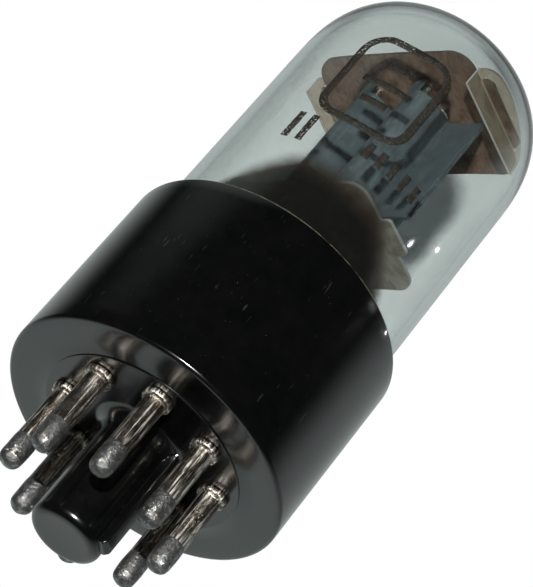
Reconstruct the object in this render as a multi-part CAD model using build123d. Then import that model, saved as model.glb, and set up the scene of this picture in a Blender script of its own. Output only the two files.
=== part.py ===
from build123d import *
import os
from math import cos, radians, sin

# An octal-base glass tube with two triodes side by side, standing upright, in millimetres.
# +Z runs up the tube's axis to the dome. z = 0 is the seating face, the ring on the underside of
# the base that rests on the socket, and the pins and the keyed post hang below it.
# X is the line through the two triodes: unit 1 is on the -X side, unit 2 on the +X side.

# Base moulding
BASE_R = 15.9
BASE_HEIGHT = 21.5
BASE_BORE_R = 14.6
FLOOR_TOP = 2.6
BASE_BOTTOM_ROUND = 0.5
BASE_RIM_ROUND = 0.3
DISC_R = 11.3
DISC_LOW = -0.18

# Keyed post in the middle of the base
POST_R = 3.88
POST_END = -13.6
POST_BORE_R = 2.7
POST_BORE_END = -12.0
POST_END_ROUND = 0.9
POST_ROOT_ROUND = 1.7
KEY_AZIMUTH = 22.5
KEY_FACE_R = 4.72
KEY_WIDTH = 1.9
KEY_END = -12.9
KEY_END_CHAMFER = 0.3

# Contact pins
PIN_CIRCLE_R = 8.725
PIN_AZIMUTHS = [45, 90, 135, 180, 225, 270, 315, 0]
PIN_R = 1.19
PIN_BORE_R = 0.75
PIN_WALL_END = -9.9
PIN_TIP = -10.75
COLLAR_R = 1.6
COLLAR_LOW = -0.95
COLLAR_CHAMFER = 0.2
PIN_FLARE_R = 1.7
PIN_TOP = 3.0
SOLDER_FILL_TOP = -6.5

# Bulb
GLASS_R = 14.05
GLASS_WALL = 1.0
CROWN_WALL = 1.2
GLASS_LOW = 6.0
DOME_LOW = 49.46
GLASS_TOP = 62.28
DOME_POWER = 2.58
DOME_STEPS = 8
CEMENT_LOW = 12.0
CEMENT_TOP = 21.3

# Stem that closes the bulb: a flare, a tube and a flattened press
STEM_R = 7.8
STEM_WALL = 1.0
PRESS_LOW = 12.25
PINCH_START = 13.0
PINCH_END = 19.0
PRESS_HALF_THICK = 1.8
PRESS_TOP = 22.5
CAVITY_TOP = 18.2
CAVITY_HALF_THICK = 0.9
CAVITY_CREST = 0.01
EXHAUST_R = 2.0
EXHAUST_BORE_R = 1.3
EXHAUST_END = -10.5
EXHAUST_TOP = 17.2

# Lead wires
LEAD_R = 0.25
CATHODE_LAP = 0.8
BUS_OVERHANG = 0.8
LEAD_SPLICE = 20.0
LEAD_STRAIGHT_END = 11.0
PIN_ENTRY = 5.5
BEND_R = 0.5
# Where each pin's lead crosses the press, as X, in pin order
PRESS_X = [5.2, 2.6, -3.9, -6.5, -5.2, -2.6, 3.9, 6.5]

# Mica spacers
LOWER_MICA_LOW = 32.0
LOWER_MICA_TOP = 32.4
UPPER_MICA_LOW = 53.15
UPPER_MICA_TOP = 53.55
MICA_HALF_WIDTH = 8.0
MICA_HALF_LENGTH = 10.6
MICA_CORNER_R = 2.6
TAB_HALF_WIDTH = 4.3
TAB_REACH = 12.0
TAB_CHAMFER = 0.6
LOWER_MICA_HALF_LENGTH = 9.9
LOWER_MICA_HALF_WIDTH = 6.9
LOWER_MICA_CORNER_R = 2.0
LOWER_TAB_REACH = 11.1
LOWER_TAB_HALF_WIDTH = 2.2
LOWER_TAB_ROUND = 0.4

# Mica bumpers that stand across the ends of the upper spacer
BUMPER_X = 11.2
BUMPER_THICK = 0.25
BUMPER_LOW = 50.6
BUMPER_SHOULDER = 53.2
BUMPER_TOP = 56.4
BUMPER_HALF_WIDTH = 5.8
BUMPER_SLOT_HALF = 4.5
BUMPER_SLOT_LOW = 52.84
BUMPER_SLOT_TOP = 53.84

# Triode units
UNIT_X = 3.4
ANODE_HALF_WIDTH = 2.5
ANODE_DEPTH = 4.8
SHEET = 0.2
ANODE_LOW = 32.9
ANODE_TOP = 51.3
FLANGE_STEP = 35.2
INNER_FLANGE_X = 0.3
OUTER_FLANGE_X = 10.2
BACK_FLANGE_LIP = 0.2
TAIL_X = (6.2, 6.9)
TAIL_LOW = 30.7
EAR_HALF_WIDTH = 0.6
EAR_REACH = 6.6
EAR_ROOT = 1.0
SLOT_GAP = 0.05

# Grids
GRID_ROD_Y = 3.4
GRID_ROD_R = 0.4
GRID_ROD_LOW = 30.7
GRID_ROD_TOP = 55.0
GRID_HALF_WIDTH = 1.35
GRID_WIRE_R = 0.06
GRID_TURNS = 17
GRID_LOW = 33.7
GRID_PITCH = 1.0

# Cathodes and heaters
CATHODE_R = 0.9
CATHODE_BORE_R = 0.75
CATHODE_LOW = 30.9
CATHODE_TOP = 54.4
BEAD_R = 1.1
BEAD_HEIGHT = 0.25
HEATER_R = 0.2
HEATER_LEG_Y = 0.35
HEATER_LOW = 29.9
HEATER_TOP = 53.0
HEATER_BUS_Z = 30.3

# Getter
GETTER_Y = -9.4
GETTER_R = 2.3
GETTER_LOW = 25.6
GETTER_TOP = 26.6
GETTER_WALL = 0.2
GETTER_LIP_R = 1.5
GETTER_WIRE_R = 0.3
GETTER_FOOT_Y = -6.0
GETTER_WIRE_RISE = 1.0
GETTER_BEND_RISE = 2.4
GETTER_HOOK_RISE = 0.6
GETTER_HOOK_LENGTH = 1.2

# How far cutting shapes run past the piece that they cut
PAST = 1.0

UP = (Align.CENTER, Align.CENTER, Align.MIN)


def rod(radius, low, high, x=0, y=0):
    """Upright cylinder between two heights."""
    return Pos(x, y, low) * Cylinder(radius, high - low, align=UP)


def block(x_span, y_span, z_span):
    """Box between the given limits."""
    centre = [sum(span) / 2 for span in (x_span, y_span, z_span)]
    size = [span[1] - span[0] for span in (x_span, y_span, z_span)]
    return Pos(*centre) * Box(*size)


def lathe(outline):
    """Solid turned about Z from a closed outline of radius and height."""
    return revolve(make_face(Plane.XZ * outline), Axis.Z, 360)


def lead(points, radius=LEAD_R, bend=BEND_R):
    """Round wire along straight runs joined by bends."""
    path = FilletPolyline(*points, radius=bend) if len(points) > 2 else Line(*points)
    section = Plane(origin=path @ 0, z_dir=path % 0) * Circle(radius)
    return sweep(section, path=path)


def pin_place(number):
    """X and Y of a contact pin, numbered from 1."""
    azimuth = radians(PIN_AZIMUTHS[number - 1])
    return PIN_CIRCLE_R * cos(azimuth), PIN_CIRCLE_R * sin(azimuth)


def both_sides(shape):
    """A piece and its mirror image on the far side of the plane of the flanges."""
    return [shape, mirror(shape, about=Plane.XZ)]


# Base -------------------------------------------------------------------------

def key_and_post():
    """Blind hollow post with its key and the round where it meets the base."""
    post = rod(POST_R, POST_END, FLOOR_TOP / 2)
    rim = post.edges().filter_by(GeomType.CIRCLE).sort_by(Axis.Z)[0]
    post = fillet(rim, POST_END_ROUND)
    key = block((0, KEY_FACE_R), (-KEY_WIDTH / 2, KEY_WIDTH / 2), (KEY_END, FLOOR_TOP / 2))
    outer_end = key.edges().filter_by(Axis.Y).group_by(Axis.Z)[0].sort_by(Axis.X)[-1]
    key = chamfer(outer_end, KEY_END_CHAMFER)
    root_r = POST_R + POST_ROOT_ROUND
    root_low = DISC_LOW - POST_ROOT_ROUND
    root = lathe(
        Line((0, root_low), (POST_R, root_low))
        + RadiusArc((POST_R, root_low), (root_r, DISC_LOW), -POST_ROOT_ROUND)
        + Line((root_r, DISC_LOW), (root_r, FLOOR_TOP / 2))
        + Line((root_r, FLOOR_TOP / 2), (0, FLOOR_TOP / 2))
        + Line((0, FLOOR_TOP / 2), (0, root_low))
    )
    return post + Rot(0, 0, KEY_AZIMUTH) * key + root


def octal_base():
    """Cup with a stepped floor, eight pin holes and the keyed post."""
    cup = rod(BASE_R, 0, BASE_HEIGHT)
    rims = cup.edges().filter_by(GeomType.CIRCLE).sort_by(Axis.Z)
    cup = fillet(rims[0], BASE_BOTTOM_ROUND)
    rims = cup.edges().filter_by(GeomType.CIRCLE).sort_by(Axis.Z)
    cup = fillet(rims[-1], BASE_RIM_ROUND)
    cup -= rod(BASE_BORE_R, FLOOR_TOP, BASE_HEIGHT + PAST)
    cup += rod(DISC_R, DISC_LOW, FLOOR_TOP / 2)
    cup += key_and_post()
    cup -= rod(POST_BORE_R, POST_BORE_END, FLOOR_TOP)
    for number in range(1, len(PIN_AZIMUTHS) + 1):
        x, y = pin_place(number)
        cup -= rod(PIN_R, DISC_LOW - PAST, FLOOR_TOP + PAST, x, y)
    return cup


def contact_pin(number):
    """Hollow pin with a collar under the base and a flared end inside it."""
    x, y = pin_place(number)
    outline = Polyline(
        (PIN_BORE_R, PIN_WALL_END),
        (PIN_R, PIN_WALL_END),
        (PIN_R, COLLAR_LOW),
        (COLLAR_R - COLLAR_CHAMFER, COLLAR_LOW),
        (COLLAR_R, COLLAR_LOW + COLLAR_CHAMFER),
        (COLLAR_R, DISC_LOW - COLLAR_CHAMFER),
        (COLLAR_R - COLLAR_CHAMFER, DISC_LOW),
        (PIN_R, DISC_LOW),
        (PIN_R, FLOOR_TOP),
        (PIN_FLARE_R, FLOOR_TOP),
        (PIN_FLARE_R, PIN_TOP),
        (PIN_BORE_R, PIN_TOP),
        close=True,
    )
    return Pos(x, y, 0) * lathe(outline)


def solder_tip(number):
    """Solder that fills a pin's end round its wire and domes over the tip."""
    x, y = pin_place(number)
    height = PIN_WALL_END - PIN_TIP
    dome_r = (PIN_R**2 + height**2) / (2 * height)
    dome = lathe(
        RadiusArc((PIN_R, PIN_WALL_END), (0, PIN_TIP), dome_r)
        + Line((0, PIN_TIP), (0, PIN_WALL_END))
        + Line((0, PIN_WALL_END), (PIN_R, PIN_WALL_END))
    )
    fill = rod(PIN_BORE_R, PIN_WALL_END, SOLDER_FILL_TOP) - rod(LEAD_R, PIN_WALL_END, SOLDER_FILL_TOP)
    return Pos(x, y, 0) * (dome + fill)


# Glass ------------------------------------------------------------------------

def dome_curve(radius, top):
    """Quarter outline of the dome, from the bulb's wall to its crown."""
    points = []
    for step in range(DOME_STEPS + 1):
        turn = radians(90 * step / DOME_STEPS)
        r = radius * cos(turn) ** (2 / DOME_POWER) if step < DOME_STEPS else 0
        z = DOME_LOW + (top - DOME_LOW) * sin(turn) ** (2 / DOME_POWER)
        points.append((r, z))
    return Spline(*points, tangents=((0, 1), (-1, 0)))


def glass_envelope():
    """Straight bulb with a domed top, open at the bottom where the stem closes it."""
    inner_r = GLASS_R - GLASS_WALL
    inner_top = GLASS_TOP - CROWN_WALL
    return lathe(
        Line((GLASS_R, GLASS_LOW), (GLASS_R, DOME_LOW))
        + dome_curve(GLASS_R, GLASS_TOP)
        + Line((0, GLASS_TOP), (0, inner_top))
        + dome_curve(inner_r, inner_top)
        + Line((inner_r, DOME_LOW), (inner_r, GLASS_LOW))
        + Line((inner_r, GLASS_LOW), (GLASS_R, GLASS_LOW))
    )


def pinch(radius, start_half, start_z, end_half, end_z, top):
    """Round tube end squeezed flat across Y."""
    profile = Polyline(
        (-start_half, PRESS_LOW),
        (start_half, PRESS_LOW),
        (start_half, start_z),
        (end_half, end_z),
        (end_half, top),
        (-end_half, top),
        (-end_half, end_z),
        (-start_half, start_z),
        close=True,
    )
    slab = extrude(make_face(Plane.YZ * profile), amount=radius, both=True)
    return rod(radius, PRESS_LOW, top) & slab


def stem_cavity():
    """Air space inside the stem, above the flare."""
    bore_r = STEM_R - STEM_WALL
    return pinch(bore_r, bore_r, PINCH_START, CAVITY_HALF_THICK, CAVITY_TOP, CAVITY_TOP + CAVITY_CREST)


def glass_stem():
    """Flare sealed to the bulb's wall, its tube, and the press that holds the leads."""
    rim_r = GLASS_R - GLASS_WALL
    bore_r = STEM_R - STEM_WALL
    flare = lathe(
        RadiusArc((rim_r, GLASS_LOW), (bore_r, PRESS_LOW), -(rim_r - bore_r))
        + Line((bore_r, PRESS_LOW), (STEM_R, PRESS_LOW))
        + RadiusArc((STEM_R, PRESS_LOW), (rim_r, PRESS_LOW - rim_r + STEM_R), rim_r - STEM_R)
        + Line((rim_r, PRESS_LOW - rim_r + STEM_R), (rim_r, GLASS_LOW))
    )
    press = pinch(STEM_R, STEM_R, PINCH_START, PRESS_HALF_THICK, PINCH_END, PRESS_TOP) - stem_cavity()
    for x in PRESS_X:
        press -= rod(LEAD_R, CAVITY_TOP - PAST, PRESS_TOP + PAST, x)
    return flare + press


def exhaust_tube():
    """Pumping tube from the stem down into the post, melted shut at its lower end."""
    tube = rod(EXHAUST_R, EXHAUST_END, EXHAUST_TOP)
    low_rim = tube.edges().filter_by(GeomType.CIRCLE).sort_by(Axis.Z)[0]
    tube = fillet(low_rim, EXHAUST_BORE_R)
    tube -= rod(EXHAUST_BORE_R, EXHAUST_END + 2 * (EXHAUST_R - EXHAUST_BORE_R), EXHAUST_TOP)
    upper = tube & stem_cavity()
    return (tube & rod(EXHAUST_R, EXHAUST_END, PRESS_LOW)) + upper


def base_cement():
    """Ring of cement between the bulb and the base."""
    return rod(BASE_BORE_R, CEMENT_LOW, CEMENT_TOP) - rod(GLASS_R, CEMENT_LOW, CEMENT_TOP)


def pin_lead(number):
    """Wire from inside the press down to the end of its pin."""
    x, y = pin_place(number)
    press_x = PRESS_X[number - 1]
    return lead([
        (press_x, 0, LEAD_SPLICE),
        (press_x, 0, LEAD_STRAIGHT_END),
        (x, y, PIN_ENTRY),
        (x, y, PIN_WALL_END),
    ])


# Inner leads ------------------------------------------------------------------

def rising(number, *rest):
    """Inner lead that starts in the press above a pin's wire."""
    return lead([(PRESS_X[number - 1], 0, LEAD_SPLICE), *rest])


def inner_leads():
    """Leads from the press to the electrodes, by node name."""
    clear_y = HEATER_LEG_Y + 2 * HEATER_R
    cathode_side = UNIT_X - CATHODE_R - LEAD_R
    cathode_end = CATHODE_LOW + CATHODE_LAP
    tail = sum(TAIL_X) / 2
    bus_end = UNIT_X + BUS_OVERHANG
    bus_a = lead([(-UNIT_X, clear_y, HEATER_BUS_Z), (PRESS_X[6], clear_y, HEATER_BUS_Z)], HEATER_R)
    bus_b = lead([(-UNIT_X, -clear_y, HEATER_BUS_Z), (bus_end, -clear_y, HEATER_BUS_Z)], HEATER_R)
    return {
        "grid_lead_1": rising(
            4, (PRESS_X[3], 0, 23.4), (-5.0, -2.4, 25), (-UNIT_X, -GRID_ROD_Y, 27.2),
            (-UNIT_X, -GRID_ROD_Y, GRID_ROD_LOW),
        ),
        "grid_lead_2": rising(
            1, (PRESS_X[0], 0, 23.4), (4.6, -2.4, 25), (UNIT_X, -GRID_ROD_Y, 27.2),
            (UNIT_X, -GRID_ROD_Y, GRID_ROD_LOW),
        ),
        "anode_lead_1": rising(
            5, (PRESS_X[4], 0, 24), (-tail, 0, 26.4), (-tail, 0, TAIL_LOW),
        ),
        "anode_lead_2": rising(
            2, (PRESS_X[1], 0, 23.2), (3.0, 2.4, 24.8), (5.6, 2.4, 26),
            (tail, 0, 27.4), (tail, 0, TAIL_LOW),
        ),
        "cathode_lead_1": rising(
            6, (PRESS_X[5], 0, 24), (-cathode_side, 0, 26), (-cathode_side, 0, cathode_end),
        ),
        "cathode_lead_2": rising(
            3, (PRESS_X[2], 0, 23.2), (-2.6, 1.8, 24.4), (1.4, 1.8, 26),
            (cathode_side, 0, 27.6), (cathode_side, 0, cathode_end),
        ),
        "heater_lead_a": bus_a + rising(
            7, (PRESS_X[6], 0, 24), (PRESS_X[6], clear_y, 25.2), (PRESS_X[6], clear_y, HEATER_BUS_Z),
        ),
        "heater_lead_b": bus_b + rising(
            8, (PRESS_X[7], 0, 24), (bus_end, -clear_y, 26), (bus_end, -clear_y, HEATER_BUS_Z),
        ),
    }


# Micas ------------------------------------------------------------------------

def mica_holes(plate_low, plate_top):
    """Rods, sleeves and ears that pass through a spacer, as one cutting shape."""
    low, top = plate_low - PAST, plate_top + PAST
    cuts = []
    for side in (-1, 1):
        cuts.append(rod(CATHODE_R, low, top, side * UNIT_X))
        ear_x = (side * UNIT_X - EAR_HALF_WIDTH - SLOT_GAP, side * UNIT_X + EAR_HALF_WIDTH + SLOT_GAP)
        slot = block(ear_x, (-ANODE_DEPTH - SLOT_GAP, -ANODE_DEPTH + SHEET + SLOT_GAP), (low, top))
        cuts += both_sides(slot)
        cuts += both_sides(rod(GRID_ROD_R, low, top, side * UNIT_X, GRID_ROD_Y))
    return cuts


def upper_mica():
    """Rectangular spacer whose end tabs pass through the bumpers."""
    size = (2 * MICA_HALF_LENGTH, 2 * MICA_HALF_WIDTH)
    tabs = Rectangle(2 * TAB_REACH, 2 * TAB_HALF_WIDTH)
    outline = RectangleRounded(*size, MICA_CORNER_R) + chamfer(tabs.vertices(), TAB_CHAMFER)
    plate = Pos(0, 0, UPPER_MICA_LOW) * extrude(outline, UPPER_MICA_TOP - UPPER_MICA_LOW)
    return plate - mica_holes(UPPER_MICA_LOW, UPPER_MICA_TOP)


def tail_slot(side):
    """Slot in the lower spacer for an anode's welded pair of tails."""
    x_span = sorted((side * (TAIL_X[0] - SLOT_GAP), side * (TAIL_X[1] + SLOT_GAP)))
    y_span = (-SHEET - SLOT_GAP, SHEET + SLOT_GAP)
    return block(x_span, y_span, (LOWER_MICA_LOW - PAST, LOWER_MICA_TOP + PAST))


def lower_mica():
    """Smaller spacer with a short tab at each end."""
    size = (2 * LOWER_MICA_HALF_LENGTH, 2 * LOWER_MICA_HALF_WIDTH)
    tabs = RectangleRounded(2 * LOWER_TAB_REACH, 2 * LOWER_TAB_HALF_WIDTH, LOWER_TAB_ROUND)
    outline = RectangleRounded(*size, LOWER_MICA_CORNER_R) + tabs
    plate = Pos(0, 0, LOWER_MICA_LOW) * extrude(outline, LOWER_MICA_TOP - LOWER_MICA_LOW)
    plate -= rod(GETTER_WIRE_R, LOWER_MICA_LOW - PAST, LOWER_MICA_TOP + PAST, 0, GETTER_FOOT_Y)
    return plate - mica_holes(LOWER_MICA_LOW, LOWER_MICA_TOP) - [tail_slot(-1), tail_slot(1)]


def mica_bumper(side):
    """Upright plate with an arched top, slotted for the spacer's tab."""
    half = BUMPER_HALF_WIDTH
    outline = (
        Line((half, BUMPER_SHOULDER), (half, BUMPER_LOW))
        + Line((half, BUMPER_LOW), (-half, BUMPER_LOW))
        + Line((-half, BUMPER_LOW), (-half, BUMPER_SHOULDER))
        + ThreePointArc((-half, BUMPER_SHOULDER), (0, BUMPER_TOP), (half, BUMPER_SHOULDER))
    )
    plate = extrude(make_face(Plane.YZ * outline), amount=BUMPER_THICK / 2, both=True)
    slot_y = (-BUMPER_SLOT_HALF, BUMPER_SLOT_HALF)
    plate -= block((-BUMPER_THICK, BUMPER_THICK), slot_y, (BUMPER_SLOT_LOW, BUMPER_SLOT_TOP))
    return Pos(side * BUMPER_X, 0, 0) * plate


# Electrodes -------------------------------------------------------------------

def ear(top_side):
    """Strip off the crest of a front half anode, bent over outside a spacer."""
    x_span = (-EAR_HALF_WIDTH, EAR_HALF_WIDTH)
    crest = (-ANODE_DEPTH, -ANODE_DEPTH + SHEET)
    fold = (-EAR_REACH, -ANODE_DEPTH + SHEET)
    if top_side:
        upright = block(x_span, crest, (ANODE_TOP - EAR_ROOT, UPPER_MICA_TOP + SHEET))
        return upright + block(x_span, fold, (UPPER_MICA_TOP, UPPER_MICA_TOP + SHEET))
    upright = block(x_span, crest, (LOWER_MICA_LOW - SHEET, ANODE_LOW + EAR_ROOT))
    return upright + block(x_span, fold, (LOWER_MICA_LOW - SHEET, LOWER_MICA_LOW))


def anode_front(side):
    """Front half of an anode: an arched shell with flat flanges, two ears and a tail for its lead."""
    height = ANODE_TOP - ANODE_LOW
    arch = Ellipse(ANODE_HALF_WIDTH, ANODE_DEPTH) - Ellipse(ANODE_HALF_WIDTH - SHEET, ANODE_DEPTH - SHEET)
    arch &= Pos(0, -ANODE_DEPTH / 2) * Rectangle(2 * ANODE_HALF_WIDTH, ANODE_DEPTH)
    shell = Pos(0, 0, ANODE_LOW) * extrude(arch, height)
    inner_x = (INNER_FLANGE_X - UNIT_X, SHEET / 2 - ANODE_HALF_WIDTH)
    outer_x = (ANODE_HALF_WIDTH - SHEET / 2, OUTER_FLANGE_X - UNIT_X)
    low_x = (ANODE_HALF_WIDTH - SHEET / 2, TAIL_X[1] - UNIT_X)
    tail_x = (TAIL_X[0] - UNIT_X, TAIL_X[1] - UNIT_X)
    half = shell + block(outer_x, (-SHEET, 0), (FLANGE_STEP, ANODE_TOP))
    half += block(low_x, (-SHEET, 0), (ANODE_LOW, FLANGE_STEP))
    half += block(inner_x, (-SHEET, 0), (ANODE_LOW, ANODE_TOP))
    half += block(tail_x, (-SHEET, 0), (TAIL_LOW, ANODE_LOW + EAR_ROOT))
    half = Pos(UNIT_X, 0, 0) * (half + ear(True) + ear(False))
    return half if side > 0 else mirror(half, about=Plane.YZ)


def anode_back(side):
    """Back half of an anode: the front half's mirror image, with a slightly wider outer flange."""
    lip_x = sorted((side * OUTER_FLANGE_X, side * (OUTER_FLANGE_X + BACK_FLANGE_LIP)))
    return mirror(anode_front(side), about=Plane.XZ) + block(lip_x, (0, SHEET), (FLANGE_STEP, ANODE_TOP))


def grid_rods(side):
    """Two support rods of a grid."""
    return both_sides(rod(GRID_ROD_R, GRID_ROD_LOW, GRID_ROD_TOP, side * UNIT_X, GRID_ROD_Y))


def grid_winding(side):
    """Fine wire wound round the two rods, turn by turn, cut where it sits in them."""
    rods = grid_rods(side)
    rise = GRID_PITCH / 4
    pieces = []
    for turn in range(GRID_TURNS):
        for half in (-1, 1):
            z = GRID_LOW + GRID_PITCH * turn + (1 + half) * rise
            start = (0, -half * GRID_ROD_Y, -rise)
            middle = (half * GRID_HALF_WIDTH, 0, 0)
            end = (0, half * GRID_ROD_Y, rise)
            path = Pos(side * UNIT_X, 0, z) * ThreePointArc(start, middle, end)
            section = Plane(origin=path @ 0, z_dir=path % 0) * Circle(GRID_WIRE_R)
            pieces.append(sweep(section, path=path) - rods)
    return pieces


def cathode(side):
    """Oxide-coated sleeve with a bead that rests on the lower spacer."""
    sleeve = rod(CATHODE_R, CATHODE_LOW, CATHODE_TOP)
    sleeve += rod(BEAD_R, LOWER_MICA_TOP, LOWER_MICA_TOP + BEAD_HEIGHT)
    return Pos(side * UNIT_X, 0, 0) * (sleeve - rod(CATHODE_BORE_R, CATHODE_LOW, CATHODE_TOP))


def heater(side):
    """Coated hairpin with both legs out of the bottom of the sleeve."""
    bend_z = HEATER_TOP - HEATER_LEG_Y
    path = (
        Line((0, -HEATER_LEG_Y, HEATER_LOW), (0, -HEATER_LEG_Y, bend_z))
        + ThreePointArc((0, -HEATER_LEG_Y, bend_z), (0, 0, HEATER_TOP), (0, HEATER_LEG_Y, bend_z))
        + Line((0, HEATER_LEG_Y, bend_z), (0, HEATER_LEG_Y, HEATER_LOW))
    )
    section = Plane(origin=(0, -HEATER_LEG_Y, HEATER_LOW), z_dir=(0, 0, 1)) * Circle(HEATER_R)
    return Pos(side * UNIT_X, 0, 0) * sweep(section, path=path)


def getter_cup():
    """Shallow pan that held the getter metal, open downwards."""
    pan = rod(GETTER_R, GETTER_LOW, GETTER_TOP)
    pan -= rod(GETTER_R - GETTER_WALL, GETTER_LOW, GETTER_TOP - GETTER_WALL)
    ridge = rod(GETTER_LIP_R, GETTER_LOW, GETTER_TOP)
    ridge -= rod(GETTER_LIP_R - GETTER_WALL, GETTER_LOW, GETTER_TOP)
    return Pos(0, GETTER_Y, 0) * (pan + ridge)


def getter_support():
    """Wire from the getter pan up through the lower spacer, bent over on top."""
    return lead([
        (0, GETTER_Y, GETTER_TOP),
        (0, GETTER_Y, GETTER_TOP + GETTER_WIRE_RISE),
        (0, GETTER_FOOT_Y, GETTER_TOP + GETTER_BEND_RISE),
        (0, GETTER_FOOT_Y, LOWER_MICA_TOP + GETTER_HOOK_RISE),
        (0, GETTER_FOOT_Y - GETTER_HOOK_LENGTH, LOWER_MICA_TOP + GETTER_HOOK_RISE),
    ], GETTER_WIRE_R)


def save(name, shape):
    """Write one node, a single solid or a group of separate solids."""
    solids = shape if isinstance(shape, list) else [shape]
    solids = [solid for item in solids for solid in item.solids()]
    export_step(Compound(children=solids) if len(solids) > 1 else solids[0], f"parts/{name}.step")


os.makedirs("parts", exist_ok=True)

pins = range(1, len(PIN_AZIMUTHS) + 1)
save("octal_base", octal_base())
for pin in pins:
    save(f"contact_pin_{pin}", contact_pin(pin))
save("pin_solder_tips", [solder_tip(pin) for pin in pins])
save("pin_lead_wires", [pin_lead(pin) for pin in pins])
save("base_cement", base_cement())
save("glass_envelope", glass_envelope())
save("glass_stem", glass_stem())
save("exhaust_tube", exhaust_tube())
for name, shape in inner_leads().items():
    save(name, shape)
save("lower_mica", lower_mica())
save("upper_mica", upper_mica())
save("mica_bumper_left", mica_bumper(-1))
save("mica_bumper_right", mica_bumper(1))
for unit, side in ((1, -1), (2, 1)):
    save(f"anode_{unit}_front", anode_front(side))
    save(f"anode_{unit}_back", anode_back(side))
    save(f"grid_{unit}_rods", grid_rods(side))
    save(f"grid_{unit}_winding", grid_winding(side))
    save(f"cathode_{unit}", cathode(side))
    save(f"heater_{unit}", heater(side))
save("getter_cup", getter_cup())
save("getter_support", getter_support())
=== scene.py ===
import bmesh
import bpy
import random
from math import atan2, cos, hypot, pi, radians, sin, sqrt
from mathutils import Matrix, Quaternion, Vector, noise


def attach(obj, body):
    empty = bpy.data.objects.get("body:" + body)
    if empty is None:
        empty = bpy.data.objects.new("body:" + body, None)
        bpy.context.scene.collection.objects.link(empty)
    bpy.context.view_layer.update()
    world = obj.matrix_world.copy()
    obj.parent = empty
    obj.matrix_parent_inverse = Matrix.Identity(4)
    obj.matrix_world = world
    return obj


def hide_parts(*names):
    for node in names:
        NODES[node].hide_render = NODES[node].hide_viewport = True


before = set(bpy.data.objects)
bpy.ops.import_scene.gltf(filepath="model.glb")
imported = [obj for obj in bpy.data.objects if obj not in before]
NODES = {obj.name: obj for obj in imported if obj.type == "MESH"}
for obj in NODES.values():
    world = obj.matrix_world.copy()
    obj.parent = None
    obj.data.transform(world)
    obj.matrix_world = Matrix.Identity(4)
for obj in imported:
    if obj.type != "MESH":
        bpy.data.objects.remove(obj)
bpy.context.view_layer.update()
MM = 0.001
random.seed(7)

# Sizes in millimetres, in the part's own frame: +Z up the tube, z = 0 at the seating face.
# Azimuths are in degrees from +X.
BASE_R, BASE_HEIGHT, BASE_BORE_R = 15.9, 21.5, 14.6
LOWER_EDGE_R, RIM_EDGE_R = 0.5, 0.3
FLOOR_TOP = 2.6
DISC_R, DISC_LOW, DISC_EDGE_R = 11.3, -0.18, 0.1
POST_R, POST_END, POST_EDGE_R, POST_ROOT_R = 3.88, -13.6, 0.9, 1.7
POST_BORE_R, POST_BORE_END = 2.7, -12
KEY_AZIMUTH, KEY_FACE_R, KEY_HALF, KEY_END, KEY_CORNER_R = 22.5, 4.72, 0.95, -12.9, 0.2
PIN_CIRCLE_R, PIN_R, PIN_BORE_R = 8.725, 1.19, 0.75
PIN_AZIMUTHS = (45, 90, 135, 180, 225, 270, 315, 0)
PIN_WALL_END, PIN_TIP, PIN_TOP, PIN_HEAD_R, PIN_EDGE_R = -9.9, -10.75, 3.0, 1.7, 0.1
COLLAR_R, COLLAR_LOW, COLLAR_LOW_ROUND, COLLAR_TOP_ROUND = 1.6, -0.9, 0.3, 0.15
SOLDER_LOW, SOLDER_TOP = -9.8, -7.2
GLASS_R, GLASS_WALL, GLASS_LOW = 14.05, 1.0, 6.0
DOME_LOW, GLASS_TOP, CROWN_WALL, DOME_POWER = 49.46, 62.28, 1.2, 2.58
FILM_R, FILM_LOW = 13.03, 12
# The second azimuth is where the painted shadow on the far wall of the bulb is darkest
FILM_AZIMUTH, SHADOW_HAZE_AZIMUTH = -41, 130
INK_R, INK_DEPTH = GLASS_R + 0.012, 0.01
CAMERA_PLACE, CAMERA_AIM, CAMERA_ROLL = (184.285, -132.207, -133.148), (0, 0, 22.946), 39.992
CAMERA_LENS, CAMERA_SENSOR = 165.4, 36
# Each lamp: its place, what it points at, its diameter in millimetres and its power in watts
LAMPS = {
    "key": ((232, -240, -105), (0, 0, 30), 12, 3.2),
    "glint_a": ((211, 135, 213), (0, 0, 31), 1.4, 0.009),
    "glint_b": ((122, 215, 217), (0, 0, 34), 1.4, 0.009),
}
# Each soft patch in the surround: the way it lies, where it starts and is full (as cosines of the
# angle from that way), and its brightness
PATCHES = (
    ((-0.574, 0.819, 0.0), 0.03, 0.55, 0.50),
    ((-0.669, 0.480, -0.567), 0.5, 0.88, 0.22),
    ((-0.2, -0.35, 0.92), 0.80, 0.95, 0.5),
)
SURROUND, SURROUND_COLOUR = 0.025, (0.91, 1.0, 0.985, 1)


# ---------------------------------------------------------------- mesh helpers

def add_piece(name, points, faces, material, slot, stands_for=(), sharp=32):
    """New mesh piece from points in millimetres, riding on the tube."""
    mesh = bpy.data.meshes.new(name)
    mesh.from_pydata([Vector(p) * MM for p in points], [], faces)
    mesh.validate()
    form = bmesh.new()
    form.from_mesh(mesh)
    bmesh.ops.recalc_face_normals(form, faces=form.faces)
    form.to_mesh(mesh)
    form.free()
    mesh.polygons.foreach_set("use_smooth", [True] * len(mesh.polygons))
    mesh.set_sharp_from_angle(angle=radians(sharp))
    mesh.materials.append(material)
    obj = bpy.data.objects.new(name, mesh)
    bpy.context.scene.collection.objects.link(obj)
    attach(obj, "root")
    if stands_for:
        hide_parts(*stands_for)
    return obj


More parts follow.
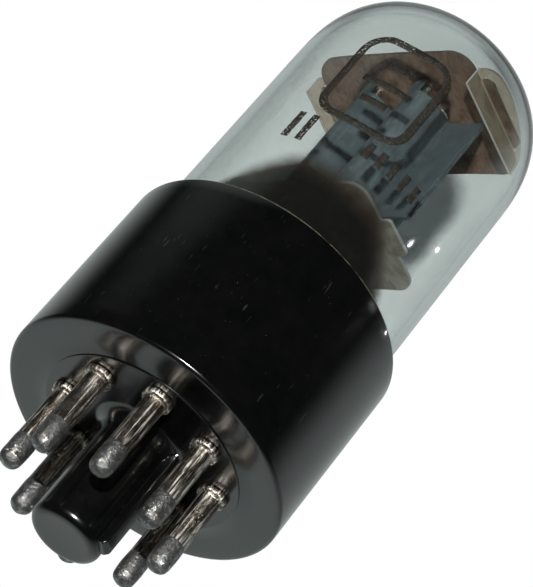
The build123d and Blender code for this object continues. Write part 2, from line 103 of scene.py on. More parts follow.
def skin(rings, closed=False):
    """Points and faces that join rings of equal count; a ring of one point is a pole."""
    points, faces, starts = [], [], []
    for ring in rings:
        starts.append(len(points))
        points += ring
    pairs = list(zip(range(len(rings) - 1), range(1, len(rings))))
    if closed:
        pairs.append((len(rings) - 1, 0))
    for a, b in pairs:
        na, nb = len(rings[a]), len(rings[b])
        n = max(na, nb) if max(na, nb) > 1 else 0
        for i in range(n):
            j = (i + 1) % n
            if na == 1:
                faces.append((starts[a], starts[b] + j, starts[b] + i))
            elif nb == 1:
                faces.append((starts[a] + i, starts[a] + j, starts[b]))
            else:
                faces.append((starts[a] + i, starts[a] + j, starts[b] + j, starts[b] + i))
    return points, faces


def merge(parts):
    """One list of points and faces from several."""
    points, faces = [], []
    for more, their in parts:
        shift = len(points)
        points += more
        faces += [tuple(i + shift for i in face) for face in their]
    return points, faces


def arc(r0, z0, radius, start, end, steps=6):
    """Points of a circular arc in the outline plane, angles in degrees from the radial direction."""
    angles = [radians(start + (end - start) * i / steps) for i in range(steps + 1)]
    return [(r0 + radius * cos(a), z0 + radius * sin(a)) for a in angles]


def lathe(outline, count=160, closed=False, centre=(0, 0)):
    """Rings about the vertical through centre, from an outline of radius and height."""
    rings = []
    for r, z in outline:
        if r < 1e-6:
            rings.append([(centre[0], centre[1], z)])
        else:
            turns = [2 * pi * i / count for i in range(count)]
            rings.append([(centre[0] + r * cos(t), centre[1] + r * sin(t), z) for t in turns])
    return skin(rings, closed)


# ------------------------------------------------------------ material helpers

SPAN_SOCKETS = ("From Min", "From Max", "To Min", "To Max")


class Shade:
    """Small wrapper that builds a node material."""

    def __init__(self, name):
        self.material = bpy.data.materials.new(name)
        self.material.use_nodes = True
        self.tree = self.material.node_tree
        self.tree.nodes.clear()
        self.out = self.tree.nodes.new("ShaderNodeOutputMaterial")
        coords = self.tree.nodes.new("ShaderNodeTexCoord")
        self.mm = self.vector("SCALE", coords.outputs["Object"], scale=1 / MM)

    def link(self, source, socket):
        if isinstance(source, bpy.types.NodeSocket):
            self.tree.links.new(source, socket)
        elif hasattr(source, "__len__") and len(source) == 3 and len(socket.default_value) == 4:
            socket.default_value = (*source, 1)
        else:
            socket.default_value = source

    def vector(self, operation, a, b=None, scale=None):
        node = self.tree.nodes.new("ShaderNodeVectorMath")
        node.operation = operation
        self.link(a, node.inputs[0])
        if b is not None:
            self.link(b, node.inputs[1])
        if scale is not None:
            self.link(scale, node.inputs["Scale"])
        return node.outputs["Vector"]

    def stretched(self, x, y, z, twist=(0, 0, 0)):
        """Millimetre coordinates scaled along each axis, after a turn."""
        node = self.tree.nodes.new("ShaderNodeMapping")
        node.inputs["Rotation"].default_value = [radians(t) for t in twist]
        node.inputs["Scale"].default_value = (x, y, z)
        self.link(self.mm, node.inputs["Vector"])
        return node.outputs["Vector"]

    def split(self, coords=None):
        node = self.tree.nodes.new("ShaderNodeSeparateXYZ")
        self.link(coords or self.mm, node.inputs[0])
        return node.outputs

    def noise(self, scale, detail=3.0, rough=0.55, coords=None, distortion=0.0):
        node = self.tree.nodes.new("ShaderNodeTexNoise")
        self.link(coords or self.mm, node.inputs["Vector"])
        node.inputs["Scale"].default_value = scale
        node.inputs["Detail"].default_value = detail
        node.inputs["Roughness"].default_value = rough
        node.inputs["Distortion"].default_value = distortion
        return node.outputs["Fac"]

    def cells(self, scale, coords=None):
        node = self.tree.nodes.new("ShaderNodeTexVoronoi")
        self.link(coords or self.mm, node.inputs["Vector"])
        node.inputs["Scale"].default_value = scale
        return node.outputs["Distance"]

    def maths(self, operation, a, b=0.0):
        node = self.tree.nodes.new("ShaderNodeMath")
        node.operation = operation
        self.link(a, node.inputs[0])
        self.link(b, node.inputs[1])
        return node.outputs[0]

    def spread(self, value, low, high, to_low=0.0, to_high=1.0):
        """Value mapped smoothly from one span to another."""
        node = self.tree.nodes.new("ShaderNodeMapRange")
        node.interpolation_type = "SMOOTHSTEP"
        for socket, number in zip(SPAN_SOCKETS, (low, high, to_low, to_high)):
            node.inputs[socket].default_value = number
        self.link(value, node.inputs["Value"])
        return node.outputs["Result"]

    def ramp(self, value, *stops):
        node = self.tree.nodes.new("ShaderNodeValToRGB")
        while len(node.color_ramp.elements) < len(stops):
            node.color_ramp.elements.new(0.5)
        for element, (place, colour) in zip(node.color_ramp.elements, stops):
            element.position = place
            element.color = (*colour, 1)
        self.link(value, node.inputs["Fac"])
        return node.outputs["Color"]

    def blend(self, factor, a, b):
        node = self.tree.nodes.new("ShaderNodeMix")
        node.data_type = "RGBA"
        self.link(factor, node.inputs[0])
        self.link(a, node.inputs[6])
        self.link(b, node.inputs[7])
        return node.outputs[2]

    def bump(self, height, distance, strength=1.0, after=None):
        node = self.tree.nodes.new("ShaderNodeBump")
        node.inputs["Strength"].default_value = strength
        node.inputs["Distance"].default_value = distance * MM
        self.link(height, node.inputs["Height"])
        if after is not None:
            self.link(after, node.inputs["Normal"])
        return node.outputs["Normal"]

    def principled(self, **values):
        node = self.tree.nodes.new("ShaderNodeBsdfPrincipled")
        for name, value in values.items():
            self.link(value, node.inputs[name.replace("_", " ")])
        return node.outputs["BSDF"]

    def shader(self, kind, **values):
        node = self.tree.nodes.new(kind)
        for name, value in values.items():
            self.link(value, node.inputs[name.replace("_", " ")])
        return node.outputs[0]

    def mixed(self, factor, a, b):
        node = self.tree.nodes.new("ShaderNodeMixShader")
        self.link(factor, node.inputs[0])
        self.link(a, node.inputs[1])
        self.link(b, node.inputs[2])
        return node.outputs[0]

    def ray(self, *kinds):
        """1 for rays of any of these kinds."""
        node = self.tree.nodes.new("ShaderNodeLightPath")
        value = node.outputs[kinds[0]]
        for kind in kinds[1:]:
            value = self.maths("MAXIMUM", value, node.outputs[kind])
        return value

    def done(self, shader):
        self.link(shader, self.out.inputs["Surface"])
        return self.material


def bakelite():
    """Glossy black phenolic with dust specks, fine scratches and a worn brown rim."""
    s = Shade("bakelite_black")
    cloud = s.noise(0.35, 4)
    dust = s.spread(s.cells(1.9, s.vector("ADD", s.mm, (3.1, 0.7, 5.2))), 0.075, 0.03)
    dust = s.maths("MULTIPLY", dust, s.spread(s.noise(0.9, 3), 0.52, 0.66))
    hairs = None
    for twist, offset in (((25, 30, 0), 0.3), ((-50, 15, 70), 4.1), ((70, -20, 30), 7.7)):
        way = s.vector("ADD", s.stretched(3.0, 3.0, 0.4, twist), (offset, offset, offset))
        hair = s.spread(s.noise(1.0, 1, coords=way), 0.725, 0.75)
        hairs = hair if hairs is None else s.maths("MAXIMUM", hairs, hair)
    hairs = s.maths("MULTIPLY", hairs, s.spread(s.noise(0.3, 2), 0.5, 0.7))
    marks = s.maths("MAXIMUM", s.maths("MULTIPLY", dust, 0.7), s.maths("MULTIPLY", hairs, 0.11))
    colour = s.ramp(cloud, (0.3, (0.0005, 0.0006, 0.0006)), (0.7, (0.0013, 0.0013, 0.0012)))
    colour = s.blend(marks, colour, (0.10, 0.097, 0.088))
    worn = s.spread(s.split()[2], BASE_HEIGHT - 0.24, BASE_HEIGHT - 0.1)
    worn = s.maths("MULTIPLY", worn, s.spread(s.noise(1.3, 4, 0.7), 0.38, 0.58))
    colour = s.blend(worn, colour, (0.21, 0.165, 0.10))
    rough = s.spread(s.noise(0.7, 5), 0.3, 0.75, 0.075, 0.12)
    rough = s.maths("ADD", rough, s.maths("MULTIPLY", marks, 0.35))
    rough = s.maths("ADD", rough, s.maths("MULTIPLY", worn, 0.4))
    # The underside and the post are less polished than the side
    rough = s.maths("ADD", rough, s.spread(s.split()[2], 0.4, 0.1, 0.0, 0.09))
    normal = s.bump(s.noise(0.22, 2), 0.02, 0.2)
    normal = s.bump(s.noise(9, 3), 0.002, 0.3, normal)
    return s.done(s.principled(Base_Color=colour, Roughness=rough, IOR=1.6, Normal=normal))


def pin_metal():
    """Nickel plate gone brown and dark in patches, scratched lengthwise by sockets."""
    s = Shade("pin_nickel")
    patch = s.noise(0.75, 5, 0.65)
    streak = s.noise(3.6, 5, 0.7, s.stretched(1, 1, 0.05))
    fine = s.noise(8, 4, 0.75, s.stretched(1, 1, 0.04))
    colour = s.ramp(
        patch,
        (0.34, (0.085, 0.062, 0.043)), (0.5, (0.20, 0.172, 0.138)), (0.66, (0.39, 0.36, 0.32)),
    )
    colour = s.blend(s.spread(streak, 0.52, 0.60), colour, (0.80, 0.77, 0.69))
    grime = s.spread(s.noise(1.9, 6, 0.75, s.stretched(1, 1, 0.45)), 0.50, 0.62)
    colour = s.blend(s.maths("MULTIPLY", grime, 0.85), colour, (0.045, 0.034, 0.024))
    pit = s.spread(s.cells(3.1), 0.16, 0.06)
    pit = s.maths("MULTIPLY", pit, s.spread(s.noise(1.2, 2), 0.5, 0.6))
    colour = s.blend(s.maths("MULTIPLY", pit, 0.8), colour, (0.06, 0.04, 0.025))
    rough = s.maths("ADD", s.spread(streak, 0.50, 0.60, 0.27, 0.50), s.maths("MULTIPLY", grime, 0.12))
    normal = s.bump(fine, 0.05, 0.9)
    normal = s.bump(streak, 0.08, 0.7, normal)
    normal = s.bump(s.noise(1.3, 3), 0.08, 0.45, normal)
    normal = s.bump(pit, 0.03, -0.5, normal)
    return s.done(s.principled(Base_Color=colour, Metallic=1.0, Roughness=rough, Normal=normal))


def solder():
    """Dull grey solder, lumpy and pitted, with a painted highlight on its high spots and painted shade in
    its hollows.
    """
    s = Shade("solder_grey")
    lump_and_highlight = s.noise(1.5, 5, 0.65)
    # The colour follows the lumps' height: painted highlight on the high spots, painted shade in the
    # hollows
    colour = s.ramp(
        lump_and_highlight,
        (0.32, (0.045, 0.046, 0.046)), (0.52, (0.14, 0.143, 0.141)), (0.70, (0.38, 0.38, 0.37)),
    )
    stain = s.spread(s.noise(2.6, 5, 0.75), 0.49, 0.62)
    colour = s.blend(s.maths("MULTIPLY", stain, 0.8), colour, (0.055, 0.048, 0.04))
    rough = s.maths("ADD", s.spread(lump_and_highlight, 0.35, 0.7, 0.36, 0.17), s.maths("MULTIPLY", stain, 0.2))
    normal = s.bump(lump_and_highlight, 0.20, 0.75)
    normal = s.bump(s.noise(6, 4, 0.7), 0.04, 0.6, normal)
    return s.done(s.principled(Base_Color=colour, Metallic=0.9, Roughness=rough, Normal=normal))


def clear_glass(name, tint, rough=0.02):
    """Clear soft glass, a little darker towards the crown, that lets lamps reach what it encloses."""
    s = Shade(name)
    normal = s.bump(s.noise(0.12, 2), 0.05, 0.25)
    crown = s.spread(s.split()[2], DOME_LOW - 8, GLASS_TOP)
    colour = s.blend(crown, tint, [0.865 * c for c in tint])
    glass = s.principled(
        Base_Color=colour, Roughness=rough, IOR=1.5, Transmission_Weight=1.0, Normal=normal,
    )
    open_shader = s.shader("ShaderNodeBsdfTransparent", Color=(0.86, 0.88, 0.875))
    return s.done(s.mixed(s.ray("Is Shadow Ray", "Is Diffuse Ray"), glass, open_shader))


def getter_film():
    """Dark metal flashed on the glass round the getter, brown and then clear at its edge.

    A painted shadow lies higher up, on the other side: a grey haze on the far wall of the bulb.
    """
    s = Shade("getter_film")
    x, y, z = s.split()

    def facing(azimuth):
        """Cosine of the angle round the bulb from an azimuth."""
        along = s.maths("MULTIPLY", x, cos(radians(azimuth)) / FILM_R)
        return s.maths("ADD", along, s.maths("MULTIPLY", y, sin(radians(azimuth)) / FILM_R))

    wave = s.maths("MULTIPLY", s.maths("SUBTRACT", s.noise(0.16, 3), 0.5), 3.0)
    level = s.maths("ADD", z, wave)
    edge = s.maths("ADD", s.maths("MULTIPLY", facing(FILM_AZIMUTH), 27.0), 5.3)
    edge = s.maths("MINIMUM", edge, 31.0)
    above = s.maths("SUBTRACT", level, edge)
    cover = s.spread(above, 1.4, -2.0, 0.0, 0.985)
    fringe = s.spread(above, -3.5, -0.5)
    colour = s.blend(fringe, (0.007, 0.006, 0.005), (0.030, 0.021, 0.014))
    rough = s.spread(s.noise(0.8, 4), 0.3, 0.7, 0.16, 0.26)
    mirror = s.principled(Base_Color=colour, Metallic=0.35, Roughness=rough)
    # Painted shadow: a grey haze on the far side of the bulb, standing in for the shade the electrodes
    # cast behind them
    painted_shadow = s.spread(s.maths("ADD", facing(SHADOW_HAZE_AZIMUTH), s.maths("MULTIPLY", wave, 0.03)), 0.66, 0.82)
    painted_shadow = s.maths("MULTIPLY", painted_shadow, s.spread(level, 63.0, 59.0))
    painted_shadow = s.maths("MULTIPLY", painted_shadow, s.spread(level, 39.0, 45.0))
    shadow_tint = s.blend(s.maths("MULTIPLY", painted_shadow, 0.93), (1, 1, 1), (0.10, 0.112, 0.115))
    return s.done(s.mixed(cover, s.shader("ShaderNodeBsdfTransparent", Color=shadow_tint), mirror))


def mica(name, light, dark, clear, across, rim_and_highlight):
    """Flaky mica sheet with a layered tone and cleaved edges in a colour of their own; on the pale
    bumpers that colour is a painted highlight.

    clear is the share of light let through, and across is the number of the axis along its thickness.
    """
    s = Shade(name)
    tone = s.noise(0.42, 5, 0.62, distortion=0.8)
    flake = s.noise(1.5, 4, 0.65, s.stretched(1, 0.35, 1, (0, 0, 25)))
    colour = s.blend(s.spread(tone, 0.36, 0.64), dark, light)
    fleck = s.spread(flake, 0.56, 0.72)
    colour = s.blend(s.maths("MULTIPLY", fleck, 0.45), colour, [min(1, 1.5 * c) for c in light])
    coords = s.tree.nodes.new("ShaderNodeTexCoord")
    # Edges, found by the tilt of the normal, take the rim colour: a painted highlight on the pale sheets,
    # their own colour on the others
    facing = s.maths("ABSOLUTE", s.split(coords.outputs["Normal"])[across])
    edge = s.spread(facing, 0.6, 0.4)
    colour = s.blend(edge, colour, rim_and_highlight)
    normal = s.bump(flake, 0.03, 0.35)
    rough = s.spread(flake, 0.3, 0.7, 0.22, 0.4)
    sheet = s.principled(Base_Color=colour, Roughness=rough, IOR=1.58, Normal=normal)
    glow = s.shader("ShaderNodeBsdfTranslucent", Color=colour)
    body = s.mixed(0.35, sheet, glow)
    through = s.maths("MULTIPLY", s.maths("SUBTRACT", 1.0, edge), clear)
    return s.done(s.mixed(through, body, s.shader("ShaderNodeBsdfTransparent", Color=(1, 0.94, 0.86))))


def anode_metal():
    """Dull blue-grey carbonised nickel, faintly mottled, with a drawn grain."""
    s = Shade("anode_grey")
    mottle = s.noise(0.6, 5, 0.6)
    grain = s.noise(3.5, 4, 0.6, s.stretched(1, 1, 0.12))
    colour = s.ramp(mottle, (0.3, (0.055, 0.068, 0.075)), (0.7, (0.095, 0.112, 0.12)))
    colour = s.blend(s.maths("MULTIPLY", s.spread(grain, 0.45, 0.75), 0.4), colour, (0.15, 0.17, 0.18))
    rough = s.spread(grain, 0.3, 0.7, 0.42, 0.58)
    normal = s.bump(grain, 0.015, 0.4)
    return s.done(s.principled(Base_Color=colour, Metallic=0.55, Roughness=rough, Normal=normal))


def wire_metal():
    """Bright nickel wire with a light drawn grain."""
    s = Shade("wire_nickel")
    tone = s.noise(1.2, 3)
    colour = s.ramp(tone, (0.35, (0.42, 0.41, 0.39)), (0.65, (0.62, 0.61, 0.58)))
    rough = s.spread(s.noise(4, 3), 0.3, 0.7, 0.22, 0.4)
    normal = s.bump(s.noise(6, 3), 0.01, 0.4)
    return s.done(s.principled(Base_Color=colour, Metallic=1.0, Roughness=rough, Normal=normal))


def powder(name, light, dark):
    """Matt sprayed coating with a grainy surface."""
    s = Shade(name)
    grain = s.noise(8, 4, 0.6)
    colour = s.blend(s.spread(s.noise(0.9, 4), 0.35, 0.7), dark, light)
    rough = s.spread(grain, 0.3, 0.7, 0.75, 0.95)
    return s.done(s.principled(Base_Color=colour, Roughness=rough, Normal=s.bump(grain, 0.03, 0.5)))


def cement():
    """Tan basing cement, gritty and a little stained."""
    s = Shade("cement_tan")
    grit = s.noise(5, 5, 0.65)
    colour = s.ramp(s.noise(0.7, 4), (0.3, (0.30, 0.24, 0.15)), (0.7, (0.50, 0.43, 0.30)))
    colour = s.blend(s.spread(grit, 0.6, 0.75), colour, (0.14, 0.11, 0.07))
    rough = s.spread(grit, 0.3, 0.7, 0.7, 0.95)
    return s.done(s.principled(Base_Color=colour, Roughness=rough, Normal=s.bump(grit, 0.06, 0.6)))


def print_ink():
    """Brown fired ink, broken up by pinholes and worn thin in places."""
    s = Shade("print_brown")
    speck = s.noise(4.2, 4, 0.7)
    colour = s.ramp(
        s.noise(2.6, 4, 0.7),
        (0.3, (0.003, 0.0022, 0.0013)), (0.55, (0.009, 0.0074, 0.0044)), (0.8, (0.034, 0.031, 0.022)),
    )
    rough = s.spread(speck, 0.3, 0.7, 0.6, 0.9)
    ink = s.principled(Base_Color=colour, Roughness=rough, IOR=1.3, Normal=s.bump(speck, 0.02, 0.5))
    cover = s.spread(speck, 0.605, 0.55)
    return s.done(s.mixed(cover, s.shader("ShaderNodeBsdfTransparent", Color=(1, 1, 1)), ink))


def pale_floor():
    """Plain pale floor, drawn on its upper face only, so a camera below sees past it."""
    s = Shade("floor_pale")
    tone = s.noise(0.02, 3)
    colour = s.ramp(tone, (0.3, (0.78, 0.78, 0.77)), (0.7, (0.82, 0.82, 0.81)))
    geometry = s.tree.nodes.new("ShaderNodeNewGeometry")
    top = s.principled(Base_Color=colour, Roughness=0.6)
    below = s.shader("ShaderNodeBsdfTransparent", Color=(1, 1, 1))
    return s.done(s.mixed(geometry.outputs["Backfacing"], top, below))


BAKELITE, PINS, SOLDER, CEMENT = bakelite(), pin_metal(), solder(), cement()
GLASS = clear_glass("bulb_glass", (0.745, 0.795, 0.78))
STEM_GLASS = clear_glass("stem_glass", (0.80, 0.84, 0.83), 0.05)
GETTER = getter_film()
MICA_BROWN = mica("mica_brown", (0.24, 0.16, 0.12), (0.125, 0.078, 0.055), 0.08, 2, (0.10, 0.08, 0.06))
# The pale sheets' edge colour, the last one given, is a painted highlight along their edges
MICA_PALE = mica("mica_pale", (0.35, 0.29, 0.225), (0.20, 0.16, 0.12), 0.55, 0, (0.5, 0.5, 0.46))
MICA_GREY = mica("mica_grey", (0.34, 0.312, 0.268), (0.205, 0.18, 0.148), 0.12, 2, (0.26, 0.26, 0.24))
ANODE, WIRE = anode_metal(), wire_metal()
CATHODE = powder("cathode_white", (0.78, 0.77, 0.73), (0.62, 0.60, 0.56))
HEATER = powder("heater_white", (0.85, 0.85, 0.82), (0.70, 0.69, 0.66))
INK = print_ink()


# -------------------------------------------------------------------- the base

def keyed_radius(turn, post_r, face_r):
    """Distance from the axis to the post's side, with its key out to face_r."""
    if face_r <= post_r or cos(turn) <= 0.5:
        return post_r
    reach = face_r / cos(turn)
    if abs(reach * sin(turn)) > KEY_HALF - KEY_CORNER_R:
        side = KEY_HALF / abs(sin(turn))
        if side * cos(turn) <= face_r - KEY_CORNER_R:
            reach = side
        else:
            cx, cy = face_r - KEY_CORNER_R, KEY_HALF - KEY_CORNER_R
            along = cx * cos(turn) + cy * abs(sin(turn))
            reach = along + sqrt(max(0, along**2 - cx**2 - cy**2 + KEY_CORNER_R**2))
    if reach <= post_r - 1:
        return post_r
    soft = 0.06
    return 0.5 * (post_r + reach + sqrt((post_r - reach) ** 2 + soft**2))


def build_base():
    """Base shell as one skin, from the post's end up the outside and back down the inside."""
    turns = {round(360 * i / 144, 3) for i in range(144)}
    turns |= {round((KEY_AZIMUTH + 0.5 * i) % 360, 3) for i in range(-44, 45)}
    turns = [radians(t) for t in sorted(turns)]
    key = radians(KEY_AZIMUTH)

    def ring(r, z, face=0.0):
        radii = [keyed_radius(atan2(sin(t - key), cos(t - key)), r, face) for t in turns]
        return [(q * cos(t), q * sin(t), z) for q, t in zip(radii, turns)]

    rings = [[(0, 0, POST_END + 0.05)], ring(1.4, POST_END + 0.04), ring(2.6, POST_END + 0.01)]
    edge = arc(POST_R - POST_EDGE_R, POST_END + POST_EDGE_R, POST_EDGE_R, -90, 0, 10)
    rings += [ring(r, z) for r, z in edge if z < KEY_END]
    end_r = POST_R - POST_EDGE_R + sqrt(POST_EDGE_R**2 - (POST_END + POST_EDGE_R - KEY_END) ** 2)
    rings += [ring(end_r, KEY_END), ring(end_r, KEY_END, KEY_FACE_R - 0.4)]
    # The key's lower end is rounded: how far up it and how far short of its face each ring is
    for up, short in ((0.1, 0.25), (0.3, 0.05), (0.5, 0)):
        rings.append(ring(POST_R, KEY_END + up, KEY_FACE_R - short))
    rings += [ring(POST_R, z, KEY_FACE_R) for z in (-11, -9, -7, -5, -3)]
    root = arc(POST_R + POST_ROOT_R, DISC_LOW - POST_ROOT_R, POST_ROOT_R, 180, 90, 12)
    rings += [ring(r, z, KEY_FACE_R) for r, z in root]
    # The rings between the edges only keep the faces short
    outline = [(7, DISC_LOW), (9, DISC_LOW), (DISC_R - DISC_EDGE_R, DISC_LOW)]
    outline += arc(DISC_R - DISC_EDGE_R, DISC_LOW + DISC_EDGE_R, DISC_EDGE_R, -90, 0, 3)
    outline += [(DISC_R, -0.02), (DISC_R + 0.05, 0), (13, 0), (14.6, 0), (BASE_R - LOWER_EDGE_R, 0)]
    outline += arc(BASE_R - LOWER_EDGE_R, LOWER_EDGE_R, LOWER_EDGE_R, -90, 0, 8)[1:]
    outline += [(BASE_R, z) for z in (2, 6, 11, 16, 20)]
    outline += arc(BASE_R - RIM_EDGE_R, BASE_HEIGHT - RIM_EDGE_R, RIM_EDGE_R, 0, 90, 5)
    outline += [(BASE_BORE_R + 0.1, BASE_HEIGHT), (BASE_BORE_R, BASE_HEIGHT - 0.1)]
    outline += [(BASE_BORE_R, 12), (BASE_BORE_R, FLOOR_TOP)]
    outline += [(9, FLOOR_TOP), (POST_BORE_R, FLOOR_TOP), (POST_BORE_R, POST_BORE_END)]
    rings += [ring(r, z) for r, z in outline]
    rings.append([(0, 0, POST_BORE_END)])
    add_piece("base_shell", *skin(rings), BAKELITE, "bakelite", ["octal_base"], 28)


def build_pin(number):
    """Hollow pin with its collar; gives back the points and faces of its solder coat."""
    azimuth = radians(PIN_AZIMUTHS[number - 1])
    x, y = PIN_CIRCLE_R * cos(azimuth), PIN_CIRCLE_R * sin(azimuth)
    shank = [(PIN_BORE_R, PIN_WALL_END), (PIN_R - PIN_EDGE_R, PIN_WALL_END)]
    shank += arc(PIN_R - PIN_EDGE_R, PIN_WALL_END + PIN_EDGE_R, PIN_EDGE_R, -90, 0, 3)
    shank += [(PIN_R, z) for z in (-8, -6, -4, -2, -1.1)]
    shank += arc(PIN_R + PIN_EDGE_R, -1.05, PIN_EDGE_R, 180, 90, 3)
    shank += arc(COLLAR_R - COLLAR_LOW_ROUND, COLLAR_LOW + COLLAR_LOW_ROUND, COLLAR_LOW_ROUND, -90, 0, 5)
    shank += arc(COLLAR_R - COLLAR_TOP_ROUND, DISC_LOW - COLLAR_TOP_ROUND, COLLAR_TOP_ROUND, 0, 90, 4)
    shank += [(PIN_R, DISC_LOW), (PIN_R, FLOOR_TOP), (PIN_HEAD_R, FLOOR_TOP)]
    shank += [(PIN_HEAD_R, PIN_TOP), (PIN_BORE_R, PIN_TOP)]
    form = lathe(shank, 48, True, (x, y))
    add_piece(f"pin_{number}", *form, PINS, "pin_metal", [f"contact_pin_{number}"])
    shift = random.uniform(0, 50)
    # The coat is a few hundredths of a millimetre thick down the pin's side, and domes over its end
    coat = [(PIN_R + 0.02, SOLDER_TOP), (PIN_R + 0.05, -7.6), (PIN_R + 0.06, -8.6), (PIN_R + 0.03, -9.5)]
    for i in range(10):
        turn = radians(10 + 8 * i)
        coat.append((PIN_R * cos(turn), SOLDER_LOW + (PIN_TIP - SOLDER_LOW) * sin(turn)))
    points, faces = lathe(coat + [(0, PIN_TIP)], 40, False, (x, y))
    out = []
    for px, py, pz in points:
        away = Vector((px - x, py - y, 0))
        swell = noise.noise(Vector((px * 1.1, py * 1.1, pz * 0.9 + shift)))
        keep = max(0.0, min(1.0, (SOLDER_TOP - pz) / 0.6))
        if away.length > 1e-6:
            away *= 1 + 0.045 * swell * keep
        out.append((x + away.x, y + away.y, pz + 0.08 * swell * keep * (pz < -9.7)))
    return out, faces


def build_pins():
    coats = [build_pin(number) for number in range(1, 9)]
    add_piece("solder_coats", *merge(coats), SOLDER, "solder", ["pin_solder_tips"], 50)


# --------------------------------------------------------------------- the bulb

def dome(radius, top, steps=26):
    """Outline of the dome, from the bulb's wall to its crown."""
    points = []
    for i in range(steps + 1):
        turn = radians(90 * i / steps)
        r = radius * cos(turn) ** (2 / DOME_POWER) if i < steps else 0
        points.append((r, DOME_LOW + (top - DOME_LOW) * sin(turn) ** (2 / DOME_POWER)))
    return points


def build_bulb():
    """Bulb as one closed skin, up the inside and down the outside."""
    inner_r = GLASS_R - GLASS_WALL
    levels = [GLASS_LOW + (DOME_LOW - GLASS_LOW) * i / 12 for i in range(12)]
    outer = [(GLASS_R, z) for z in levels] + dome(GLASS_R, GLASS_TOP)
    inner = [(inner_r, z) for z in levels] + dome(inner_r, GLASS_TOP - CROWN_WALL)
    add_piece("bulb", *lathe(inner + outer[::-1], 200, True), GLASS, "glass", ["glass_envelope"], 60)


def build_getter_film():
    """Skin just inside the glass, from the cement up to most of the dome."""
    inner_r = GLASS_R - GLASS_WALL
    levels = [FILM_LOW + (DOME_LOW - FILM_LOW) * i / 60 for i in range(60)]
    crown = [(r * FILM_R / inner_r, z) for r, z in dome(inner_r, GLASS_TOP - CROWN_WALL - 0.02)[:-6]]
    outline = [(FILM_R, z) for z in levels] + crown
    add_piece("getter_mirror", *lathe(outline, 160), GETTER, "getter_metal", (), 60)


# -------------------------------------------------------------------- materials

def dress():
    """Materials for the CAD nodes that keep their own shape."""
    table = {
        "base_cement": CEMENT, "glass_stem": STEM_GLASS, "exhaust_tube": STEM_GLASS,
        "lower_mica": MICA_GREY, "upper_mica": MICA_BROWN,
        "mica_bumper_left": MICA_PALE, "mica_bumper_right": MICA_PALE,
        "cathode_1": CATHODE, "cathode_2": CATHODE, "heater_1": HEATER, "heater_2": HEATER,
    }
    for name, obj in NODES.items():
        material = table.get(name, ANODE if name.endswith(("front", "back")) else WIRE)
        obj.data.materials.clear()
        obj.data.materials.append(material)


# ----------------------------------------------------------------------- print

def build_print():
    """Generic brown mark: a rounded frame with bars, and two small groups of bars."""

    def on_glass(s, z, azimuth):
        """Point on the glass at a distance round it from an azimuth."""
        turn = radians(azimuth) + s / GLASS_R
        return (INK_R * cos(turn), INK_R * sin(turn), z)

    def band(path, width, azimuth, z_mid, loop=False):
        """Stroke of uneven width along a path of distance round the glass and height."""
        rows = []
        n = len(path)
        for i, (s, z) in enumerate(path):
            a = path[(i - 1) % n] if loop or i else path[i]
            b = path[(i + 1) % n] if loop or i < n - 1 else path[i]
            ds, dz = b[0] - a[0], b[1] - a[1]
            length = hypot(ds, dz)
            ns, nz = -dz / length, ds / length
            row = []
            for k in range(4):
                off = (k / 3 - 0.5) * width
                off *= 1 + 0.16 * noise.noise(Vector((s * 1.7, z * 1.7, k * 3.0 + z_mid)))
                row.append(on_glass(s + ns * off, z_mid + z + nz * off, azimuth))
            rows.append(row)
        faces = []
        for i in range(n if loop else n - 1):
            j = (i + 1) % n
            for k in range(3):
                faces.append((i * 4 + k, i * 4 + k + 1, j * 4 + k + 1, j * 4 + k))
        return [p for row in rows for p in row], faces

    def frame_path(half_w, half_h, corner):
        """Rounded rectangle about the middle."""
        path = []
        for cx, cy, start in ((1, 1, 0), (-1, 1, 90), (-1, -1, 180), (1, -1, 270)):
            ox, oy = cx * (half_w - corner), cy * (half_h - corner)
            turns = [radians(start + 9 * i) for i in range(11)]
            path += [(ox + corner * cos(t), oy + corner * sin(t)) for t in turns]
        return path

    def bar(s0, z0, s1, z1):
        return [(s0 + (s1 - s0) * i / 8, z0 + (z1 - z0) * i / 8) for i in range(9)]

    wide, narrow = 0.95, 0.8
    # The azimuth and height of the middle of the frame, the row of five bars and the pair of bars
    middle, row, pair = (-53, 43.0), (-28, 34.6), (-71, 33.6)
    parts = [band(frame_path(4.9, 6.2, 2.4), wide, *middle, True)]
    for half, z in ((1.5, 2.7), (2.7, 0.0), (1.5, -2.7)):
        parts.append(band(bar(-half, z, half, z), wide, *middle))
    for s in (-3.2, -1.6, 0.0, 1.6, 3.2):
        parts.append(band(bar(s, -1.1, s, 1.1), narrow, *row))
    for s in (-1.0, 0.6):
        parts.append(band(bar(s, -2.0, s, 2.0), narrow, *pair))
    piece = add_piece("printed_mark", *merge(parts), INK, "cement", (), 180)
    thick = piece.modifiers.new("ink_depth", "SOLIDIFY")
    thick.thickness = INK_DEPTH * MM
    thick.offset = 0


# ---------------------------------------------------------------------- staging

def build_stage():
    """Floor just under the post's end; it casts nothing on the tube."""
    half, level = 900, POST_END - 0.02
    corners = [Vector((x * half, y * half, level)) * MM for x, y in ((-1, -1), (1, -1), (1, 1), (-1, 1))]
    mesh = bpy.data.meshes.new("floor")
    mesh.from_pydata(corners, [], [(0, 1, 2, 3)])
    floor = bpy.data.objects.new("floor", mesh)
    bpy.context.scene.collection.objects.link(floor)
    mesh.materials.append(pale_floor())
    floor.visible_glossy = floor.visible_diffuse = floor.visible_shadow = False
    floor.visible_transmission = True


def aimed(place, aim):
    """Turn that points an object's -Z from place to aim."""
    return (Vector(aim) - Vector(place)).to_track_quat("-Z", "Y")


def area_light(name, place, aim, size, power):
    """Round lamp; places and size in millimetres, power in watts."""
    data = bpy.data.lights.new(name, "AREA")
    data.shape = "DISK"
    data.size = size * MM
    data.energy = power
    lamp = bpy.data.objects.new(name, data)
    lamp.location = Vector(place) * MM
    lamp.rotation_mode = "QUATERNION"
    lamp.rotation_quaternion = aimed(place, aim)
    bpy.context.scene.collection.objects.link(lamp)


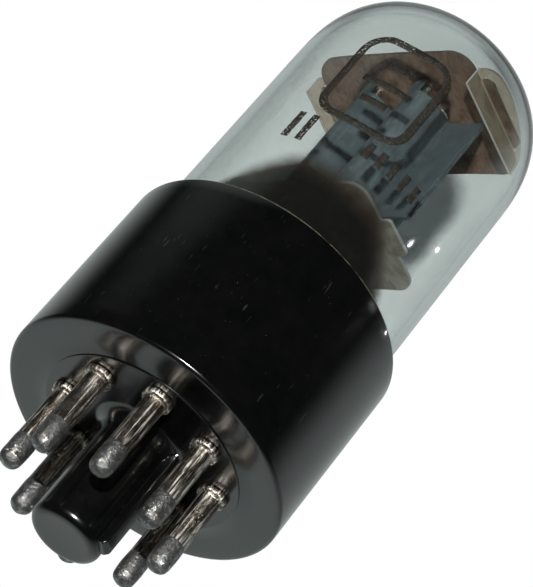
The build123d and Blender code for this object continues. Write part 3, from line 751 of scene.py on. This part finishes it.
def build_world():
    """Plain white ground, and a dim surround with soft pale patches for reflections."""
    world = bpy.data.worlds.new("studio")
    bpy.context.scene.world = world
    world.use_nodes = True
    tree = world.node_tree
    tree.nodes.clear()

    def node(kind, **values):
        made = tree.nodes.new(kind)
        for name, value in values.items():
            setattr(made, name, value)
        return made

    coords = node("ShaderNodeTexCoord")
    total = None
    for direction, low, high, strength in PATCHES:
        dot = node("ShaderNodeVectorMath", operation="DOT_PRODUCT")
        tree.links.new(coords.outputs["Generated"], dot.inputs[0])
        dot.inputs[1].default_value = Vector(direction).normalized()
        span = node("ShaderNodeMapRange", interpolation_type="SMOOTHSTEP")
        for socket, number in zip(SPAN_SOCKETS, (low, high, 0, strength)):
            span.inputs[socket].default_value = number
        tree.links.new(dot.outputs["Value"], span.inputs["Value"])
        if total is None:
            total = span.outputs["Result"]
        else:
            plus = node("ShaderNodeMath", operation="ADD")
            tree.links.new(total, plus.inputs[0])
            tree.links.new(span.outputs["Result"], plus.inputs[1])
            total = plus.outputs[0]
    dark = node("ShaderNodeMath", operation="ADD")
    tree.links.new(total, dark.inputs[0])
    dark.inputs[1].default_value = SURROUND
    around = node("ShaderNodeBackground")
    tree.links.new(dark.outputs[0], around.inputs["Strength"])
    around.inputs["Color"].default_value = SURROUND_COLOUR
    plain = node("ShaderNodeBackground")
    plain.inputs["Color"].default_value = (1, 1, 1, 1)
    plain.inputs["Strength"].default_value = 1.0
    # The plain white ground is seen straight on or through glass, and never in a reflection
    path = node("ShaderNodeLightPath")
    bounces = node("ShaderNodeMath", operation="ADD")
    tree.links.new(path.outputs["Glossy Depth"], bounces.inputs[0])
    tree.links.new(path.outputs["Diffuse Depth"], bounces.inputs[1])
    direct = node("ShaderNodeMath", operation="LESS_THAN")
    tree.links.new(bounces.outputs[0], direct.inputs[0])
    direct.inputs[1].default_value = 0.5
    either = node("ShaderNodeMath", operation="MAXIMUM")
    tree.links.new(path.outputs["Is Camera Ray"], either.inputs[0])
    tree.links.new(path.outputs["Is Transmission Ray"], either.inputs[1])
    seen = node("ShaderNodeMath", operation="MULTIPLY")
    tree.links.new(either.outputs[0], seen.inputs[0])
    tree.links.new(direct.outputs[0], seen.inputs[1])
    mix = node("ShaderNodeMixShader")
    tree.links.new(seen.outputs[0], mix.inputs[0])
    tree.links.new(around.outputs[0], mix.inputs[1])
    tree.links.new(plain.outputs[0], mix.inputs[2])
    out = node("ShaderNodeOutputWorld")
    tree.links.new(mix.outputs[0], out.inputs["Surface"])


def build_camera():
    """Long lens, below the base and to the front right, rolled so that the tube leans up to the right."""
    data = bpy.data.cameras.new("camera")
    data.sensor_fit = "AUTO"
    data.sensor_width = CAMERA_SENSOR
    data.lens = CAMERA_LENS
    data.clip_start, data.clip_end = 0.01, 10
    camera = bpy.data.objects.new("camera", data)
    camera.location = Vector(CAMERA_PLACE) * MM
    camera.rotation_mode = "QUATERNION"
    turn = Quaternion((0, 0, 1), radians(CAMERA_ROLL))
    camera.rotation_quaternion = aimed(CAMERA_PLACE, CAMERA_AIM) @ turn
    bpy.context.scene.collection.objects.link(camera)
    bpy.context.scene.camera = camera


build_base()
build_pins()
build_bulb()
build_getter_film()
dress()
build_print()
build_stage()
build_world()
for lamp_name, settings in LAMPS.items():
    area_light(lamp_name, *settings)
build_camera()
bpy.context.scene.view_settings.view_transform = "Standard"
